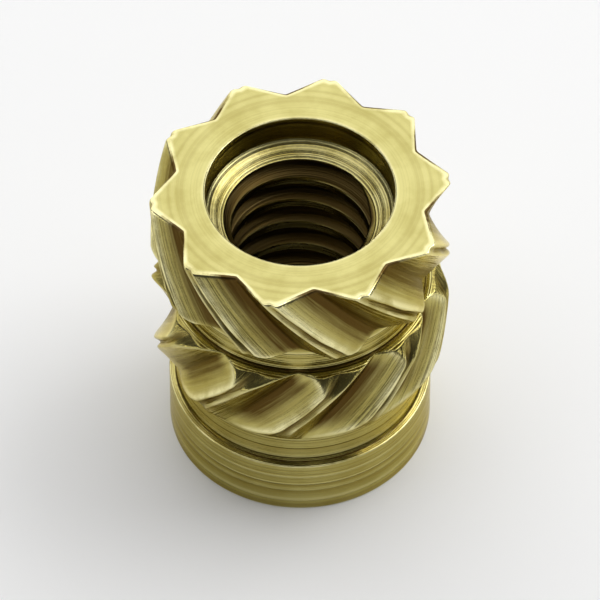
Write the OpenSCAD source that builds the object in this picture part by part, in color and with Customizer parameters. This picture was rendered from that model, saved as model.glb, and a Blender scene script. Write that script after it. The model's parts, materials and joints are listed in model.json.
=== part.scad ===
// Brass threaded insert that is melted or pressed into a hole in plastic.
// It is one turned piece: a plain pilot collar that goes into the hole first, a relief, and two
// bands of diagonal teeth of opposite hand with a neck between them. The thread runs right through.
// The origin is on the axis, in the pilot's end face, and +Z points to the head, where the screw goes in.

/* [Sleeve] */
// Length of the whole insert
length = 4; // [3.8:0.1:6]
// Diameter of the pilot collar
collar_d = 3.1; // [3.04:0.02:3.2]
// Height of the pilot collar
collar_h = 0.8; // [0.6:0.05:1]
// Diameter of the relief where it meets the collar
relief_d = 2.94; // [2.88:0.02:2.96]
// How much wider the relief is where it meets the teeth
relief_flare = 0.04; // [0.02:0.01:0.04]
// Height of the relief
relief_h = 0.45; // [0.35:0.05:0.55]
// Diameter of the neck between the two bands of teeth
neck_d = 2.94; // [2.88:0.02:2.96]
// Height of the neck
neck_h = 0.45; // [0.3:0.05:0.6]

/* [Teeth] */
// Diameter over the tips of the teeth
tip_d = 3.5; // [3.4:0.05:3.7]
// Diameter at the bottom of the grooves
root_d = 3; // [3:0.02:3.1]
// Number of teeth round each band
teeth = 10; // [8:1:14]
// Angle of the teeth to the axis
helix_angle = 41; // [25:1:45]
// Height of the lower band, next to the relief
lower_band_h = 1.25; // [1.1:0.05:1.4]
// Width of the flat left on top of a tooth
crest_w = 0.2; // [0.12:0.02:0.26]
// Depth of the seam that rolling leaves along the top of a tooth
seam_depth = 0.035; // [0.01:0.005:0.05]

/* [Hole] */
// Diameter of the hole across the crests of its thread
thread_hole_d = 1.6; // [1.4:0.05:1.8]
// Diameter of the counterbore in the head
head_bore_d = 2.2; // [2.1:0.02:2.4]
// Depth of the counterbore's straight wall, above the cone that the drill's point leaves
head_bore_depth = 0.36; // [0.2:0.02:0.5]
// Diameter of the countersunk mouth in the pilot's end face
mouth_d = 2.24; // [2:0.02:2.4]

/* [Hidden] */
$fn = 96;

// A turned corner's bevel, and how far one turned step reaches inside the next piece
edge_bevel = 0.03;
overlap = 0.1;
// Diameter of the plain core inside the bands, well under the grooves
core_d = 2.6;
// Half the point angle of the drill that cuts the counterbore, and of the countersink that cuts the mouth
drill_half_angle = 59;
sink_half_angle = 45;
// How far a cutter runs out past a face
cutter_run = 0.5;

relief_top = collar_h + relief_h;
lower_band_top = relief_top + lower_band_h;
upper_band_start = lower_band_top + neck_h;
upper_band_h = length - upper_band_start;

// The lower band slopes down to the relief in a long foot and to the neck in a short one
relief_foot = 0.5;
relief_foot_d = 3.02;
neck_foot = 0.22;
neck_foot_d = 3.2;
// The upper band has a small break at the neck, and is faced off square at the head
break_foot = 0.08;
break_foot_d = 3.36;

// A band is drawn as rings of points, no further apart than this. In a ring each flank of a tooth
// is cut in so many, and each half of its crest in so many.
ring_step = 0.08;
flank_cuts = 3;
crest_cuts = 2;
points_per_tooth = 2 * flank_cuts + 2 * crest_cuts;
// The thinnest groove that is still drawn where a groove runs out, as a share of a full one
least_groove = 0.06;

half_pitch = 180 / teeth;
crest_half_angle = crest_w / tip_d * 180 / PI;
turn_per_mm = tan(helix_angle) / (tip_d / 2) * 180 / PI;

// Diameter of the uncut land at height h of a band, which rises from each end in a quarter sine
function land_d(h, band_h, low_foot, low_d, high_foot, high_d) =
    let (
        low = low_foot > 0 ? sin(90 * min(1, h / low_foot)) : 1,
        high = high_foot > 0 ? sin(90 * min(1, (band_h - h) / high_foot)) : 1
    )
    min(low_d + (tip_d - low_d) * low, high_d + (tip_d - high_d) * high);

// Heights of the rings from one height up to another, without the first
function ring_heights(from, to) =
    let (count = ceil((to - from) / ring_step))
    [for (i = [1:1:count]) from + (to - from) * i / count];

function polar(r, angle) = [r * cos(angle), r * sin(angle)];

// One tooth's points in a level ring: up one flank from the groove, over the crest with its seam,
// and down the other flank. All flanks have one slope, so a groove narrows as the land comes down to it.
function tooth(angle, land) =
    let (
        share = max(least_groove, (land - root_d) / (tip_d - root_d)),
        crest_half = half_pitch - (half_pitch - crest_half_angle) * share,
        groove_before = polar(root_d / 2, angle - half_pitch),
        crest_before = polar(land / 2, angle - crest_half),
        crest_after = polar(land / 2, angle + crest_half),
        groove_after = polar(root_d / 2, angle + half_pitch)
    )
    concat(
        [for (i = [0:flank_cuts - 1]) groove_before + (crest_before - groove_before) * i / flank_cuts],
        [
            for (i = [-crest_cuts:crest_cuts])
            let (across = i / crest_cuts)
            polar(land / 2 - seam_depth * share * (1 - abs(across)), angle + crest_half * across)
        ],
        [for (i = [1:flank_cuts - 1]) crest_after + (groove_after - crest_after) * i / flank_cuts]
    );

// A band of teeth that stands on z = 0. The hand is 1 for a right-hand helix and -1 for a left-hand one.
module tooth_band(band_h, hand, low_foot, low_d, high_foot, high_d) {
    heights = concat(
        [0],
        ring_heights(0, low_foot),
        ring_heights(low_foot, band_h - high_foot),
        ring_heights(band_h - high_foot, band_h)
    );
    last = len(heights) - 1;
    ring = teeth * points_per_tooth;
    rings = [
        for (h = heights)
        for (k = [0:teeth - 1])
        for (p = tooth(
            k * 2 * half_pitch + hand * turn_per_mm * h,
            land_d(h, band_h, low_foot, low_d, high_foot, high_d)
        ))
        [p[0], p[1], h]
    ];
    base_centre = len(rings);
    top_centre = base_centre + 1;
    sides = [
        for (i = [0:last - 1])
        for (j = [0:ring - 1])
        let (
            a = i * ring + j,
            b = i * ring + (j + 1) % ring
        )
        each hand > 0
            ? [[a, a + ring, b], [b, a + ring, b + ring]]
            : [[a, a + ring, b + ring], [a, b + ring, b]]
    ];
    base = [for (j = [0:ring - 1]) [base_centre, j, (j + 1) % ring]];
    top = [for (j = [0:ring - 1]) [top_centre, last * ring + (j + 1) % ring, last * ring + j]];
    polyhedron(
        points = concat(rings, [[0, 0, 0], [0, 0, band_h]]),
        faces = concat(sides, base, top),
        convexity = 10
    );
}

// The turned body without teeth: collar, relief, core and neck, as one solid of revolution
module turned_body() {
    rotate_extrude() polygon([
        [0, 0],
        [collar_d / 2 - edge_bevel, 0],
        [collar_d / 2, edge_bevel],
        [collar_d / 2, collar_h - edge_bevel],
        [collar_d / 2 - edge_bevel, collar_h],
        [relief_d / 2, collar_h],
        [(relief_d + relief_flare) / 2, relief_top + overlap],
        [core_d / 2, relief_top + overlap],
        [core_d / 2, lower_band_top - overlap],
        [neck_d / 2, lower_band_top - overlap],
        [neck_d / 2, upper_band_start + overlap],
        [0, upper_band_start + overlap]
    ]);
}

// What is cut away down the middle: the thread's hole, the head's counterbore and the pilot's mouth
module hole() {
    drill_point = (head_bore_d - thread_hole_d) / 2 / tan(drill_half_angle);
    mouth = (mouth_d - thread_hole_d) / 2 / tan(sink_half_angle);
    rotate_extrude() polygon([
        [0, -cutter_run],
        [mouth_d / 2, -cutter_run],
        [mouth_d / 2, 0],
        [thread_hole_d / 2, mouth],
        [thread_hole_d / 2, length - head_bore_depth - drill_point],
        [head_bore_d / 2, length - head_bore_depth],
        [head_bore_d / 2, length + cutter_run],
        [0, length + cutter_run]
    ]);
}

module threaded_insert() {
    color([0.8, 0.72, 0.38])
    difference() {
        union() {
            turned_body();
            translate([0, 0, relief_top])
                tooth_band(lower_band_h, 1, relief_foot, relief_foot_d, neck_foot, neck_foot_d);
            translate([0, 0, upper_band_start])
                tooth_band(upper_band_h, -1, break_foot, break_foot_d, 0, tip_d);
        }
        hole();
    }
}

threaded_insert();
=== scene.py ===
import json
import math

import bpy
import numpy as np
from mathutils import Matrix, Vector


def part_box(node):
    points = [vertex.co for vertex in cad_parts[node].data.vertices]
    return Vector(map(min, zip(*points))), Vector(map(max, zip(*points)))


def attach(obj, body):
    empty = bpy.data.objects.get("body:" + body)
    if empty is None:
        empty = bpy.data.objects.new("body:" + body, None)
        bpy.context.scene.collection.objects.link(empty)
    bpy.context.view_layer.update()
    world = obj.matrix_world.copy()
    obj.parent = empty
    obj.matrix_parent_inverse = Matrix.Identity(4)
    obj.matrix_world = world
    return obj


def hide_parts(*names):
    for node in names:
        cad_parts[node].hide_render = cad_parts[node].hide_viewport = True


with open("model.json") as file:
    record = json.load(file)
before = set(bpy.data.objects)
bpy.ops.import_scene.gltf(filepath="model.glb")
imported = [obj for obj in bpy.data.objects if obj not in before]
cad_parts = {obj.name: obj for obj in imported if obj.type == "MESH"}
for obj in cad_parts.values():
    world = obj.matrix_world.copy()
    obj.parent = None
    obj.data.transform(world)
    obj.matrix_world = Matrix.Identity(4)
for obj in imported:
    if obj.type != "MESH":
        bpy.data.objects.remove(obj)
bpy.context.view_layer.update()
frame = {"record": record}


# ---- Threaded insert ---------------------------------------------------------------------
# One piece of free-cutting brass, turned from bar. Two wheels roll the bands of slanted teeth
# into it with opposite hands, a tap cuts the M2 thread, and a tool faces off the toothed head.
# It stands on the pilot collar, the end that goes into the plastic first.

# Sizes are given in mm, and the scene is in metres
mm = 0.001
mounts = {m["name"]: m["dims"] for m in frame["record"]["mounts"]}
node_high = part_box("threaded_insert")[1]
length = node_high.z
tip_r = max(node_high.x, node_high.y)
collar_r = mounts["pilot"]["r_mm"] * mm
hole_r = mounts["screw_thread"]["r_mm"] * mm

# Heights of the collar's shoulder, the lower band and the upper band
shoulder_z = 0.8 * mm
lower_start, lower_end = 1.25 * mm, 2.5 * mm
upper_start = 2.95 * mm
relief_r, neck_r = 1.47 * mm, 1.47 * mm

# Each rise from a turned part onto a band: its length, and the radius that it starts from
relief_foot, relief_foot_r = 0.5 * mm, 1.49 * mm
neck_foot, neck_foot_r = 0.22 * mm, 1.6 * mm
head_foot, head_foot_r = 0.08 * mm, 1.68 * mm

# Teeth: how many, the radius at the bottom of a groove, the slant, and the flat on a crest
teeth = 10
root_r = 1.5 * mm
slant = math.radians(41)
half_pitch = math.pi / teeth
crest_half = 0.1 * mm / tip_r
flank_span = half_pitch - crest_half
turn = math.tan(slant) / tip_r
seam_depth = 0.065 * mm

# How far a tooth's edges are rounded, and its groove's bottom, which is in radians
tooth_edge = 0.018 * mm
groove_bottom = 0.012


def land(z):
    """Radius of the uncut surface at height z.

    A quarter sine lifts the lower band from the relief in a long foot and from the neck in a
    short one, and the upper band from the neck in a small break.
    """
    def rise(distance, foot, foot_r):
        return foot_r + (tip_r - foot_r) * np.sin(np.clip(distance / foot, 0, 1) * np.pi / 2)

    from_relief = rise(z - lower_start, relief_foot, relief_foot_r)
    lower = np.minimum(from_relief, rise(lower_end - z, neck_foot, neck_foot_r))
    upper = rise(z - upper_start, head_foot, head_foot_r)
    return np.where(z < (lower_end + upper_start) / 2, lower, upper)


def twist(z):
    """Angle of the teeth at height z, in straight stretches.

    It grows with the height up the lower band and falls up the upper one, and slides evenly in
    between. On the collar it slides too, so that it's the same at both ends of the hole.
    """
    one_pitch = 2 * half_pitch
    lower_turn = turn * (lower_end - lower_start)
    head_angle = one_pitch - turn * (length - upper_start)
    heights = [0, lower_start, lower_end, upper_start, length]
    return np.interp(z, heights, [head_angle, 0, lower_turn, one_pitch, head_angle])


def soft_min(a, b, reach):
    """The smaller of a and b, with the corner where they cross rounded over this reach.

    Where they differ by less than the reach, the square of what is left of it, over four times
    the reach, is taken off.
    """
    overlap = np.maximum(reach - np.abs(a - b), 0)
    return np.minimum(a, b) - overlap**2 / (4 * reach)


def tooth_share(z):
    """How much of a full tooth stands at height z: the land's rise over the root, from 0 to 1."""
    return np.clip((land(z) - root_r) / (tip_r - root_r), 0, 1)


def crest_now(z):
    """Half the angle that a tooth's crest takes at height z.

    It is half the pitch less the flank, which gets shorter with the tooth, so a groove narrows
    where the land comes down.
    """
    return half_pitch - flank_span * tooth_share(z)


def seam(angle, z):
    """Depth of the seam that rolling leaves on a crest, from 0 to 1.

    It is a squared raised cosine across the crest. Sines of the height let it wander and fade
    along the tooth, and the facing tool closes most of it in the last 0.2 mm at the head.
    """
    wander = 0.15 * np.sin(z / (0.21 * mm)) + 0.1 * np.sin(z / (0.083 * mm) + 2)
    fade = 0.85 + 0.15 * np.sin(z / (0.13 * mm) + 1)
    faced_off = np.clip((length - z) / (0.2 * mm), 0.3, 1)
    across = np.clip(np.abs(angle / crest_now(z) - wander), 0, 1)
    return ((1 + np.cos(np.pi * across)) / 2) ** 2 * tooth_share(z) * fade * faced_off


def tooth_radius(angle, z):
    """Radius at an angle from the middle of a tooth.

    A flank is the straight line from the groove's bottom to the edge of a full crest, in polar
    form: root radius times tip radius times the sine of the whole span, over tip radius times the
    sine of the span left plus root radius times the sine of the span covered. The span covered
    follows a hyperbola near the groove's middle, which rounds the bottom. The crest follows the
    land, with the seam along its middle.
    """
    out = np.sqrt((half_pitch - np.abs(angle)) ** 2 + groove_bottom**2) - groove_bottom
    flank = root_r * tip_r * np.sin(flank_span)
    flank = flank / (tip_r * np.sin(flank_span - out) + root_r * np.sin(out))
    return soft_min(flank, land(z) - seam_depth * seam(angle, z), tooth_edge)


# Points across half a tooth, as shares of the flank and of the half crest, closer at the corners
flank_steps = np.array([0, 0.03, 0.09, 0.18, 0.3, 0.42, 0.54, 0.66, 0.78, 0.88, 0.95])
crest_steps = np.array([0, 0.08, 0.2, 0.36, 0.55, 0.75, 0.92])


def column_angles(share):
    """Angles of the columns round the insert, one row for each share of the crest in half a tooth.

    The flank's steps fill the pitch outside the crest and the crest's steps fill the rest of it.
    Each half is mirrored into a tooth, and the tooth is repeated all round.
    """
    crest = half_pitch * np.asarray(share)[:, None]
    flank = half_pitch - (half_pitch - crest) * flank_steps
    top = crest * (1 - crest_steps)
    half = np.concatenate([flank, top], axis=1)
    tooth = np.concatenate([-half, np.zeros_like(crest), half[:, :0:-1]], axis=1)
    starts = np.arange(teeth) * 2 * half_pitch
    return (starts[:, None] + tooth[:, None, :]).reshape(len(crest), -1)


def rows(z, radius=0, toothed=0, inset=0):
    """Rows of the profile as height, plain radius, share of toothed outline and inset from it."""
    return np.stack(np.broadcast_arrays(*np.atleast_1d(z, radius, toothed, inset)), axis=1)


def corner(z, radius, size, first, last, count=5):
    """Rows round a corner, as an arc about (radius, z) between two angles in degrees."""
    angle = np.radians(np.linspace(first, last, count))
    return rows(z + size * np.sin(angle), radius + size * np.cos(angle))


# The outer surface, from the mouth's rim across the pilot's end, up the outside and over the head.
# Every turned edge and corner has one small radius, and the head's edge a wider one. Where the
# teeth end at the neck their edge is broken: each row is so far short of the end, and so far in.
mouth_r, head_bore_r = 1.12 * mm, 1.1 * mm
edge, head_bevel = 0.02 * mm, 0.04 * mm
short_of_end = np.array([0.01, 0.003, 0]) * mm
set_in = np.array([0.001, 0.004, 0.01]) * mm
band_steps = np.linspace(0, 1, 38)
round_head = np.radians(np.linspace(15, 90, 6))

# The rows of the plain stretches, the relief's taper, and how much of the teeth's outline each row
# still has on the way across the head's face to the bore
pilot_end_r = np.array([1.135, 1.15, 1.22, 1.32, 1.42, 1.49, 1.518]) * mm
collar_z = np.array([0.035, 0.12, 0.28, 0.45, 0.62, 0.74, 0.765]) * mm
relief_z = np.array([0.84, 0.95, 1.08, 1.18, 1.23]) * mm
relief_taper = np.array([0, 0.003, 0.008, 0.013, 0.017]) * mm
neck_z = np.array([2.53, 2.6, 2.7, 2.8, 2.88, 2.92]) * mm
face_toothed = np.array([1, 0.92, 0.7, 0.45, 0.2, 0.05, 0])
face_inset, face_inner_r = 0.05 * mm, head_bore_r + 0.03 * mm
outer = np.concatenate([
    rows(0, pilot_end_r),
    corner(edge, collar_r - edge, edge, -90, 0),
    rows(collar_z, collar_r),
    corner(shoulder_z - edge, collar_r - edge, edge, 0, 90),
    corner(shoulder_z + edge, relief_r + edge, edge, -90, -180, 4),
    rows(relief_z, relief_r + relief_taper),
    rows(lower_start + (lower_end - lower_start - edge) * band_steps, 0, 1),
    rows(lower_end - short_of_end, 0, 1, set_in),
    rows(lower_end, neck_r + edge, np.array([0.7, 0.3, 0]), set_in[-1]),
    corner(lower_end + edge, neck_r + edge, edge, -90, -180, 4)[1:],
    rows(neck_z, neck_r),
    corner(upper_start - edge, neck_r + edge, edge, 180, 90, 4),
    rows(upper_start, neck_r + edge, np.array([0.3, 0.7, 1]), set_in[-1]),
    rows(upper_start + short_of_end[1::-1], 0, 1, set_in[1::-1]),
    rows(upper_start + edge + (length - head_bevel - upper_start - edge) * band_steps, 0, 1),
    rows(length - head_bevel * (1 - np.sin(round_head)), 0, 1, head_bevel * (1 - np.cos(round_head))),
    rows(length, face_inner_r, face_toothed, face_inset),
    rows(length, head_bore_r + edge),
])
row_z, row_toothed = outer[:, 0], outer[:, 2]
on_face = row_z > length - 0.001 * mm
in_band = (row_toothed == 1) & ~on_face

# The columns crowd at the edges of a crest, so they slide sideways as it widens. On the turned
# parts they slide slowly, so that rows which lie close don't cross, and on the head's face they
# slide back as the rows lose the teeth's outline. Both ends of the surface have the plain share.
plain_share, widest_share = 0.4, 0.86
crest_share = np.minimum(crest_now(row_z) / half_pitch, widest_share)
lower_share, upper_share = crest_now(np.array([lower_end, upper_start])) / half_pitch
turned_share = np.interp(
    row_z,
    [collar_z[0], collar_z[-1], lower_start, lower_end, neck_z[0], neck_z[-1]],
    [plain_share, widest_share, widest_share, lower_share, lower_share, upper_share],
)
toothed_share = plain_share + (crest_share - plain_share) * row_toothed
local = column_angles(np.where(in_band | on_face, toothed_share, turned_share))
from_tooth = (local + half_pitch) % (2 * half_pitch) - half_pitch

z, plain, toothed, inset = outer[:, :, None].transpose(1, 0, 2)
outer_r = toothed * (tooth_radius(from_tooth, z) - inset) + (1 - toothed) * plain
outer_angle = local + twist(z)


def ring_points(z, r, angle):
    """Points round the axis: r times the cosine and the sine of the angle, and the height z."""
    z, r, angle = np.broadcast_arrays(z, r, angle)
    return np.stack([r * np.cos(angle), r * np.sin(angle), z], axis=-1)


outer_points = ring_points(z, outer_r, outer_angle)

# The thread: pitch, depth, and the points up one turn, closer at the corners of the form. It lies
# between the cone that the drill's point leaves in the head and the pilot's 45 degree countersink,
# and in the head its grooves start partly cut, in the last of the cone. The half crest and the
# flank are shares of a turn, and stand for a little more than 60 degrees between two flanks.
pitch, thread_depth, first_cut = 0.4 * mm, 0.2 * mm, 0.08 * mm
drill_slope = math.tan(math.radians(59))
bore_floor = length - 0.36 * mm
thread_top = bore_floor - (head_bore_r - hole_r - first_cut) / drill_slope
thread_bottom = mouth_r - hole_r
phases = np.array([0, 0.09, 0.125, 0.16, 0.28, 0.4, 0.437, 0.5, 0.563, 0.6, 0.72, 0.84, 0.875, 0.91])
half_crest, flank_width = 0.125, 0.3125


def thread_radius(phase, z):
    """Radius of the tapped hole at a phase of its turn and a height.

    A groove gets deeper in proportion to the phase over a flank, between a flat crest and a flat
    root. It is no deeper than its height over the countersink, nor than the first cut and its
    depth under the top together, so it runs out at both ends. The drill's cone cuts the crest
    that comes first.
    """
    from_crest = np.abs(phase - np.round(phase))
    groove = thread_depth * np.clip((from_crest - half_crest) / flank_width, 0, 1)
    groove = np.minimum(groove, np.minimum(thread_top - z + first_cut, z - thread_bottom))
    return hole_r + np.maximum(groove, first_cut - (thread_top - z) * drill_slope)


# The hole has half as many columns. Its turns run down a spiral grid that is clamped at both ends.
hole_angle = column_angles([plain_share])[0, ::2] + twist(length)
climb = (hole_angle - hole_angle[0]) / (2 * np.pi)
turns = math.ceil((thread_top - thread_bottom) / pitch) + 2
down = (np.arange(turns)[:, None] + phases).ravel()
thread_z = np.clip(thread_top + pitch * (climb - down[:, None]), thread_bottom, thread_top)
thread_r = thread_radius(climb - (thread_z - thread_top) / pitch, thread_z)

# The head's counterbore with its rounded lip, a straight wall and the cone, and the pilot's mouth
cone_z = bore_floor - np.array([0.005, 0.03, 0.07, 0.1, 0.122]) * mm
head_bore = np.concatenate([
    corner(length - edge, head_bore_r + edge, edge, 110, 180, 5),
    rows(bore_floor + np.array([0.3, 0.16, 0.04, 0.008]) * mm, head_bore_r),
    rows(cone_z, head_bore_r - (bore_floor - cone_z) * drill_slope),
])
mouth_z = np.array([0.312, 0.29, 0.22, 0.12, 0.05, 0.012, 0.003]) * mm
mouth_lip = np.array([0, 0, 0, 0, 0, 0.001, 0.006]) * mm
mouth = rows(mouth_z, mouth_r - mouth_z + mouth_lip)


def quads(ring, after):
    """Faces from a closed ring of points to the one after it, or from each ring of a stack."""
    corners = [ring, np.roll(ring, -1, -1), np.roll(after, -1, -1), after]
    return np.stack(corners, axis=-1).reshape(-1, 4)


def two_to_one(fine, coarse):
    """Triangles from a closed ring to the one after it, which has half as many points."""
    start, middle, end = fine[0::2], fine[1::2], np.roll(fine[0::2], -1)
    here, ahead = coarse, np.roll(coarse, -1)
    return np.concatenate([
        np.stack([start, middle, here], axis=1),
        np.stack([middle, ahead, here], axis=1),
        np.stack([middle, end, ahead], axis=1),
    ])


head_points = ring_points(head_bore[:, :1], head_bore[:, 1:2], hole_angle)
thread_points = ring_points(thread_z, thread_r, hole_angle)
mouth_points = ring_points(mouth[:, :1], mouth[:, 1:2], hole_angle)
parts = [outer_points, head_points, thread_points, mouth_points]
counts = [p.shape[0] * p.shape[1] for p in parts]
starts = np.cumsum([0] + counts[:-1])
outer_id, head_id, thread_id, mouth_id = [
    start + np.arange(count).reshape(p.shape[:2]) for start, count, p in zip(starts, counts, parts)
]

# Each row of the spiral meets, across its seam, the row one turn higher
higher_row = np.maximum(np.arange(len(down)) - len(phases), 0)
closed = np.concatenate([thread_id, thread_id[higher_row, :1]], axis=1)
spiral = np.stack([closed[:-1, :-1], closed[:-1, 1:], closed[1:, 1:], closed[1:, :-1]], axis=-1)
flat = np.concatenate([
    quads(outer_id[:-1], outer_id[1:]),
    quads(head_id[:-1], head_id[1:]),
    quads(head_id[-1], thread_id[0]),
    spiral.reshape(-1, 4),
    quads(thread_id[-1], mouth_id[0]),
    quads(mouth_id[:-1], mouth_id[1:]),
])

# The rings go up the outside and down the hole, so the last stitch, from the mouth's end back to
# the first ring, starts at its coarse side and has its triangles turned over
stitch = np.concatenate([
    two_to_one(outer_id[-1], head_id[0]),
    two_to_one(outer_id[0], mouth_id[-1])[:, ::-1],
])
points = np.concatenate([p.reshape(-1, 3) for p in parts])


def near(value, target, width):
    """1 where a value is on its target, and less round it, by a bell curve of this width."""
    return np.exp(-(((value - target) / width) ** 2))


# What the brass needs to know at each point, all of it from 0 to 1:
#   groove  how deep it lies in a groove, or in an inside corner
#   seam    how deep it lies in a crest's seam
#   across  how far it is from the middle of a tooth, in mm
#   band    whether it is on a rolled band, which fades out at the head's edge
#   edge    whether it is on an edge that handling rubs bright, partly a painted highlight
#   bore    how deep it lies in the thread
#   faced   whether it is on a faced-off end

# How far the rubbing and its painted highlight reach from a turned edge, from the bore's rim and, as an
# angle, from the edge of a crest, how far the oil and painted shade reach from an inside corner, and
# how the marks fade out
rub_and_highlight, rim_rub_and_highlight, crest_rub_and_highlight = 0.02 * mm, 0.03 * mm, 0.05 * mm / tip_r
shoulder_oil_and_shade, neck_oil_and_shade = 0.02 * mm, 0.03 * mm
band_fade, face_fade = 0.05 * mm, 0.005 * mm

on_band = in_band[:, None]
corner_oil_and_shade = near(outer_r, neck_r, shoulder_oil_and_shade) * (
    near(z, shoulder_z, shoulder_oil_and_shade) + near(z, lower_end, neck_oil_and_shade) + near(z, upper_start, neck_oil_and_shade)
)
crest_edge = near(np.abs(from_tooth), crest_now(z), crest_rub_and_highlight) * tooth_share(z) * on_band
star_edge = (toothed == 1) & (z > length - head_bevel - face_fade)
head_edge = near(z, length, rub_and_highlight) * (star_edge + near(outer_r, head_bore_r, rim_rub_and_highlight))
collar_edge = near(outer_r, collar_r, rub_and_highlight) * (near(z, 0, rub_and_highlight) + near(z, shoulder_z, rub_and_highlight))
outside = {
    "groove": np.where(on_band, (land(z) - outer_r) / (tip_r - root_r), corner_oil_and_shade),
    "seam": seam(from_tooth, z) * on_band,
    "across": np.abs(from_tooth) * outer_r / mm,
    "band": on_band * (length - z) / band_fade,
    "edge": crest_edge + head_edge + collar_edge,
    "bore": 0,
    "faced": near(z, length, face_fade) + near(z, 0, face_fade),
}

# In the hole the thread gets painted shade, fast from the head and slowly from the mouth, and less on
# its crests. The counterbore's lip is rubbed bright, partly a painted highlight, and the drill's cone
# gets a little painted highlight.
head_dark, mouth_dark, crest_bright = 0.025 * mm, 0.5 * mm, 0.04 * mm
hole_points = np.concatenate([head_points, thread_points, mouth_points]).reshape(-1, 3)
hole_z = hole_points[:, 2]
above_crest = np.hypot(hole_points[:, 0], hole_points[:, 1]) - hole_r
deep = np.minimum((thread_top - hole_z) / head_dark, (hole_z - thread_bottom) / mouth_dark)
on_thread_crest = np.clip(1 - above_crest / crest_bright, 0, 1)
on_cone = (hole_z > thread_top + 0.001 * mm) & (hole_z < bore_floor)
inside = {
    "edge": near(hole_z, length, rub_and_highlight) + 0.3 * on_cone,
    "bore": np.clip(deep, 0, 1) * (1 - 0.5 * on_thread_crest),
}
marks = {
    name: np.concatenate([
        (np.clip(value, 0, 1) + 0 * outer_r).ravel(),
        np.clip(inside.get(name, 0), 0, 1) + 0 * hole_z,
    ])
    for name, value in outside.items()
}

# Clamped rows lie on one another, so equal points are made one and faces without area are dropped
same_place = 1e-6 * mm
grid = np.round(points / same_place)
first, same = np.unique(grid, axis=0, return_index=True, return_inverse=True)[1:]
triangles = np.concatenate([flat[:, [0, 1, 2]], flat[:, [0, 2, 3]], stitch])
triangles = same.ravel()[triangles]
a, b, c = triangles.T
triangles = triangles[(a != b) & (b != c) & (c != a)]

mesh = bpy.data.meshes.new("insert_brass")
mesh.from_pydata(points[first].tolist(), [], triangles.tolist())
mesh.shade_smooth()
for name, values in marks.items():
    mark = mesh.attributes.new(name, "FLOAT", "POINT")
    mark.data.foreach_set("value", values[first].astype(np.float32))
insert = bpy.data.objects.new("insert_brass", mesh)
bpy.context.scene.collection.objects.link(insert)


def wire(tree, kind, inputs=None, **settings):
    """Adds a node, sets what it has, and gives each named input a value or another node's output."""
    node = tree.nodes.new(kind)
    for key, value in settings.items():
        setattr(node, key, value)
    for key, value in (inputs or {}).items():
        if isinstance(value, bpy.types.NodeSocket):
            tree.links.new(value, node.inputs[key])
        else:
            node.inputs[key].default_value = value
    return node


def calc(tree, operation, a, b):
    """One step of arithmetic between two values."""
    return wire(tree, "ShaderNodeMath", {0: a, 1: b}, operation=operation).outputs[0]


def ramp(tree, value, low, high, start, end):
    """Maps a value from the range low to high onto the range start to end, held at both ends."""
    inputs = {"Value": value, "From Min": low, "From Max": high, "To Min": start, "To Max": end}
    return wire(tree, "ShaderNodeMapRange", inputs).outputs[0]


def blend(tree, share, a, b):
    """Mixes two colours by a share from 0 to 1."""
    node = wire(tree, "ShaderNodeMix", {"Factor": share}, data_type="RGBA")
    for socket, value in ((6, a), (7, b)):
        if isinstance(value, bpy.types.NodeSocket):
            tree.links.new(value, node.inputs[socket])
        else:
            node.inputs[socket].default_value = (*value, 1)
    return node.outputs[2]


def noise(tree, place, scale, detail, roughness):
    """Noise at a place: features to a unit, layers of finer detail, and how strong they are."""
    inputs = {"Vector": place, "Scale": scale, "Detail": detail, "Roughness": roughness}
    return wire(tree, "ShaderNodeTexNoise", inputs).outputs[0]


def lines(tree, coordinate, scale, roughness):
    """Noise along one coordinate, which makes fine lines across it."""
    inputs = {"W": coordinate, "Scale": scale, "Detail": 3, "Roughness": roughness}
    return wire(tree, "ShaderNodeTexNoise", inputs, noise_dimensions="1D").outputs[0]


# Colours of the brass where it is turned or rolled, and where it is faced off, paler, partly as painted
# light on the ends and painted shade on the walls; of the painted shade in its marks' hollows and the
# painted highlight on their ridges; of rubbed edges, partly a painted highlight; and of the oil on it
# and in the thread, partly painted shade
dark_brass, light_brass = (0.37, 0.31, 0.086), (0.45, 0.39, 0.125)
dark_faced_painted_lit, light_faced_painted_lit = (0.47, 0.42, 0.145), (0.58, 0.53, 0.21)
painted_shade_mark, painted_highlight_mark = (0.25, 0.19, 0.04), (0.64, 0.58, 0.26)
rubbed_and_highlight_brass, edge_tint = (0.85, 0.79, 0.42), (0.95, 0.86, 0.55, 1)
brown_oil_and_shade, thread_oil_and_shade = (0.07, 0.034, 0.006), (0.055, 0.032, 0.009)

brass = bpy.data.materials.new("turned_brass")
brass.use_nodes = True
tree = brass.node_tree
shader = tree.nodes["Principled BSDF"]
groove, seam_mark, across, band, edge_wear_and_highlight, bore, faced = [
    wire(tree, "ShaderNodeAttribute", attribute_name=name).outputs["Fac"] for name in marks
]
where = wire(tree, "ShaderNodeTexCoord").outputs["Object"]
in_mm = wire(tree, "ShaderNodeVectorMath", {0: where, "Scale": 1 / mm}, operation="SCALE").outputs[0]
split = wire(tree, "ShaderNodeSeparateXYZ", {0: in_mm}).outputs
level = wire(tree, "ShaderNodeCombineXYZ", {"X": split[0], "Y": split[1]}).outputs[0]
radius = wire(tree, "ShaderNodeVectorMath", {0: level}, operation="LENGTH").outputs["Value"]

# The tool's marks run round the insert, so they change with height on a wall and with radius on a
# face, where they are fainter. All depths are in mm.
broad_depth, fine_depth, faced_share = 0.018, 0.003, 0.2
feed = calc(tree, "ADD", split[2], radius)
broad = lines(tree, feed, scale=9, roughness=0.6)
fine = calc(tree, "MULTIPLY", lines(tree, feed, scale=40, roughness=0.7), fine_depth)
turned = calc(tree, "ADD", calc(tree, "MULTIPLY", broad, broad_depth), fine)
turned = calc(tree, "MULTIPLY", turned, ramp(tree, faced, 0, 1, 1, faced_share))

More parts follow.
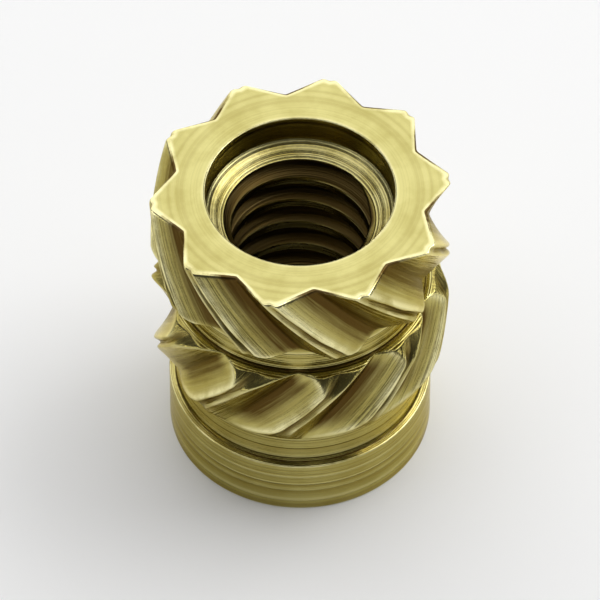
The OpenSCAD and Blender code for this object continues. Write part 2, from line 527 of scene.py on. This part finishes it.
# The wheel's marks run along the teeth, so they change fast across them and slowly along them. A
# fine grain lies over both kinds.
rolled_depth, grain_depth = 0.014, 0.0015
along_rate, across_rate = 0.9, 24
slow = wire(tree, "ShaderNodeVectorMath", {0: in_mm, "Scale": along_rate}, operation="SCALE").outputs[0]
fast = calc(tree, "MULTIPLY", across, across_rate)
side = wire(tree, "ShaderNodeCombineXYZ", {"X": fast}).outputs[0]
along = wire(tree, "ShaderNodeVectorMath", {0: slow, 1: side}, operation="ADD").outputs[0]
streaks = noise(tree, along, scale=1, detail=3, roughness=0.6)
smears = noise(tree, along, scale=0.6, detail=5, roughness=0.7)
rolled = calc(tree, "MULTIPLY", streaks, rolled_depth)
grain = noise(tree, in_mm, scale=22, detail=3, roughness=0.7)
grain = calc(tree, "MULTIPLY", grain, grain_depth)
relief = wire(tree, "ShaderNodeMix", {"Factor": band, 2: turned, 3: rolled}).outputs[0]
relief = calc(tree, "ADD", relief, grain)
bump = wire(tree, "ShaderNodeBump", {"Strength": 1, "Distance": mm, "Height": relief}).outputs[0]
tree.links.new(bump, shader.inputs["Normal"])

# Pale yellow brass, a little patchy, and paler where it is faced off, partly as painted light on the
# ends
cloud = noise(tree, in_mm, scale=2.2, detail=4, roughness=0.6)
patch = ramp(tree, cloud, 0.35, 0.65, 0, 1)
metal = blend(tree, patch, dark_brass, light_brass)
metal = blend(tree, faced, metal, blend(tree, patch, dark_faced_painted_lit, light_faced_painted_lit))

# Both kinds of mark get painted shade in their hollows and a painted highlight on their ridges, most on
# turned walls
marked = wire(tree, "ShaderNodeMix", {"Factor": band, 2: broad, 3: streaks}).outputs[0]
on_walls, elsewhere = 0.6, 0.2
strength = ramp(tree, calc(tree, "MAXIMUM", band, faced), 0, 1, on_walls, elsewhere)
mark_shade = calc(tree, "MULTIPLY", ramp(tree, marked, 0.38, 0.5, 1, 0), strength)
metal = blend(tree, mark_shade, metal, painted_shade_mark)
mark_highlight = calc(tree, "MULTIPLY", ramp(tree, marked, 0.54, 0.64, 0, 1), strength)
metal = blend(tree, mark_highlight, metal, painted_highlight_mark)

# Handling rubs the edges bright in places, partly a painted highlight, and brown oil stays in the
# grooves, seams and thread, deepened into painted shade there, with smears across the grooves' edges
faintest_edge_mark, smear_size, covered = 0.25, 0.9, 0.95
worn_and_highlight = calc(tree, "MULTIPLY", edge_wear_and_highlight, ramp(tree, cloud, 0.38, 0.56, faintest_edge_mark, 1))
metal = blend(tree, worn_and_highlight, metal, rubbed_and_highlight_brass)
smear = calc(tree, "MULTIPLY", calc(tree, "SUBTRACT", smears, 0.5), smear_size)
groove_oil_and_shade = ramp(tree, calc(tree, "ADD", groove, smear), 0.35, 0.85, 0, covered)
oil_and_shade = calc(tree, "MAXIMUM", groove_oil_and_shade, calc(tree, "MULTIPLY", seam_mark, covered))
metal = blend(tree, oil_and_shade, metal, brown_oil_and_shade)
# Painted shade deep in the thread, with its oil
metal = blend(tree, ramp(tree, bore, 0, 0.8, 0, covered), metal, thread_oil_and_shade)
tree.links.new(metal, shader.inputs["Base Color"])
shader.inputs["Metallic"].default_value = 1
shader.inputs["Specular Tint"].default_value = edge_tint

# Smooth metal, a little cloudy, and duller where there is oil
smoothest, cloudiest, oil_dulls = 0.13, 0.2, 0.2
dulled = calc(tree, "MULTIPLY", calc(tree, "MAXIMUM", oil_and_shade, bore), oil_dulls)
rough = calc(tree, "ADD", ramp(tree, cloud, 0.3, 0.7, smoothest, cloudiest), dulled)
tree.links.new(rough, shader.inputs["Roughness"])
mesh.materials.append(brass)

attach(insert, "root")
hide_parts("threaded_insert")


# ---- Floor, light and camera -------------------------------------------------------------
# A sheet of white paper under a large softbox that leans in from behind, with a smaller one high
# on the right and a low strip at each side. The paper's own faint glow stands for the light that
# comes back to it from the rest of the studio.

half = 0.3
floor_mesh = bpy.data.meshes.new("floor")
floor_mesh.from_pydata(
    [(-half, -half, 0), (half, -half, 0), (half, half, 0), (-half, half, 0)], [], [(0, 1, 2, 3)]
)
floor = bpy.data.objects.new("floor", floor_mesh)
bpy.context.scene.collection.objects.link(floor)

paper = bpy.data.materials.new("white_paper")
paper.use_nodes = True
tree = paper.node_tree
shader = tree.nodes["Principled BSDF"]
shader.inputs["Base Color"].default_value = (0.86, 0.86, 0.86, 1)
shader.inputs["Roughness"].default_value = 0.9

# The glow shows to the camera and in reflections, and doesn't light what isn't glossy
glow = 0.04
rays = wire(tree, "ShaderNodeLightPath").outputs
mirrored = calc(tree, "MAXIMUM", rays["Is Glossy Ray"], rays["Is Transmission Ray"])
seen = calc(tree, "MAXIMUM", rays["Is Camera Ray"], mirrored)
tree.links.new(calc(tree, "MULTIPLY", seen, glow), shader.inputs["Emission Strength"])
shader.inputs["Emission Color"].default_value = (1, 1, 1, 1)
floor_mesh.materials.append(paper)

# The studio: pale at the horizon and dark above it
horizon, overhead = 0.35, 0.08
world = bpy.data.worlds.new("studio")
world.use_nodes = True
tree = world.node_tree
direction = wire(tree, "ShaderNodeTexCoord").outputs["Generated"]
up = wire(tree, "ShaderNodeSeparateXYZ", {0: direction}).outputs[2]
background = tree.nodes["Background"]
background.inputs["Color"].default_value = (1, 1, 1, 1)
tree.links.new(ramp(tree, up, 0.08, 0.35, horizon, overhead), background.inputs["Strength"])
bpy.context.scene.world = world


def place(holder, azimuth, elevation, distance):
    """Puts a lamp or camera at a distance from the insert's middle and turns it to face there.

    The azimuth goes round from the front to the right, in degrees, and the elevation up from level.
    """
    a, e = math.radians(azimuth), math.radians(elevation)
    back = np.array([math.sin(a) * math.cos(e), -math.cos(a) * math.cos(e), math.sin(e)])
    middle = np.array([0, 0, length / 2])
    holder.location = middle + back * distance
    holder.rotation_euler = (math.pi / 2 - e, 0, a)


def softbox(name, azimuth, elevation, distance, width, height, brightness):
    """An area lamp that faces the insert. Its power is its brightness times pi times its area."""
    lamp = bpy.data.lights.new(name, "AREA")
    lamp.shape = "RECTANGLE"
    lamp.size, lamp.size_y = width, height
    lamp.energy = brightness * math.pi * width * height
    holder = bpy.data.objects.new(name, lamp)
    bpy.context.scene.collection.objects.link(holder)
    place(holder, azimuth, elevation, distance)


softbox("overhead", 180, 60, distance=0.11, width=0.24, height=0.26, brightness=1.3)
softbox("key", 110, 50, distance=0.16, width=0.1, height=0.1, brightness=2.6)
for number, side in enumerate([-75, 75]):
    softbox(f"low_strip_{number}", side, 12, distance=0.15, width=0.08, height=0.02, brightness=3)

camera_data = bpy.data.cameras.new("camera")
camera_data.lens = 480
camera_data.clip_start = 0.001
camera_data.clip_end = 2
camera = bpy.data.objects.new("camera", camera_data)
bpy.context.scene.collection.objects.link(camera)
place(camera, azimuth=0, elevation=51, distance=0.094)
bpy.context.scene.camera = camera

bpy.context.scene.view_settings.view_transform = "Standard"
